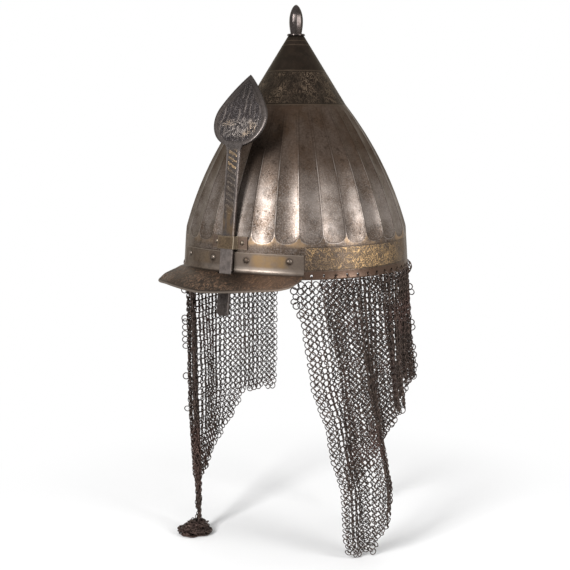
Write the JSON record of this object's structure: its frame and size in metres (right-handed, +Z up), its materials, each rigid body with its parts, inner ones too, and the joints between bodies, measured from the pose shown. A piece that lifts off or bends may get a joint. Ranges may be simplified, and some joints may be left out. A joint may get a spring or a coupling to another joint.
{
  "type": "turban helmet",
  "caption": "Fluted conical steel helmet with a riveted peak, a sliding nasal bar with a leaf finial, and hanging curtains of mail.",
  "frame": {"origin": "centre of the lower edge of the bowl's rim", "axes": "+Z up along the bowl's axis, -Y the way the face looks, +X the wearer's left"},
  "size_m": [0.2326, 0.2647, 0.5397],
  "materials": {
    "steel": "patinated",
    "dark_steel": "patinated",
    "gilt": "worn gilding over steel",
    "mail": "dark patina"
  },
  "bodies": {
    "helmet": {"bowl": "steel", "finial": "dark_steel", "finial_collar": "dark_steel", "peak": "steel", "peak_rivets": "steel", "nasal_bracket": "gilt", "bracket_rivets": "gilt", "cheek_suspension_rings": "mail", "neck_suspension_rings": "mail", "cheek_mail": "mail", "neck_mail": "mail"},
    "nasal": {"nasal_bar": "steel"}
  },
  "joints": [
    {"name": "nasal_slide", "type": "slide", "parent": "helmet", "child": "nasal", "axis": [0, 0.1305, 0.9914], "range_m": [-0.072, 0.02]}
  ]
}
